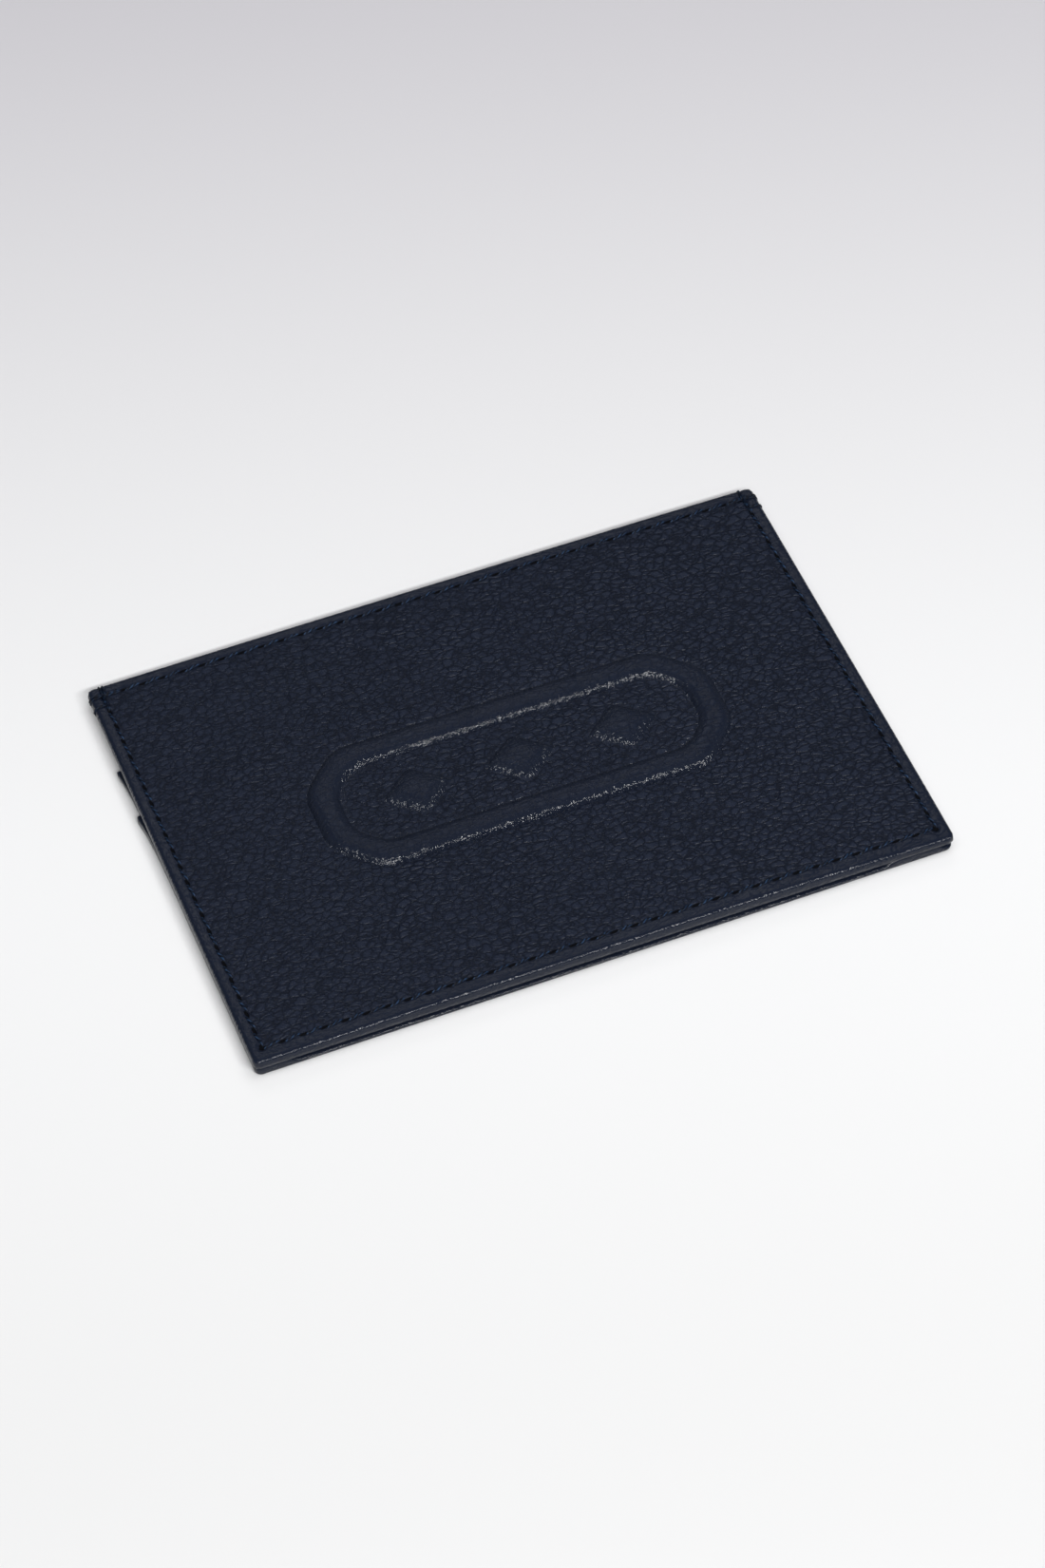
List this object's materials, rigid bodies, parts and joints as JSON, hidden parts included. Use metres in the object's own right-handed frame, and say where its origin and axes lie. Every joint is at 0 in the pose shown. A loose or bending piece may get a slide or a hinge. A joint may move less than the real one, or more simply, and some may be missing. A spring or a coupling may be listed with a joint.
{
  "type": "card holder",
  "caption": "Slim stitched leather card holder with a padded, embossed front panel, an open middle pocket and stepped card pockets on its back.",
  "frame": {"origin": "centre of the resting face's outline, on the resting plane under the middle of the holder", "axes": "+X along the mouth, to the right seen from the front cover; +Y from the closed edge to the mouth; +Z out of the front cover"},
  "size_m": [0.1008, 0.0704, 0.0039],
  "materials": {
    "grained_leather": "pebble grain, satin",
    "back_leather": "fine grain, satin",
    "pocket_leather": "pebble grain, satin",
    "felt": "matt felt",
    "board": "matt bonded board",
    "lining_cloth": "plain weave, matt",
    "thread": "twisted, slightly waxed"
  },
  "bodies": {
    "root": {"front_cover": "grained_leather", "motif_padding": "felt", "front_board": "board", "front_lining": "lining_cloth", "back_cover": "back_leather", "back_board": "board", "back_lining": "lining_cloth", "upper_card_pocket": "pocket_leather", "upper_pocket_tail": "lining_cloth", "lower_card_pocket": "pocket_leather", "front_mouth_thread": "thread", "needle_thread": "thread", "bobbin_thread": "thread", "back_mouth_thread": "thread", "tail_seam_thread": "thread", "left_mouth_tack": "thread", "right_mouth_tack": "thread"}
  },
  "joints": []
}
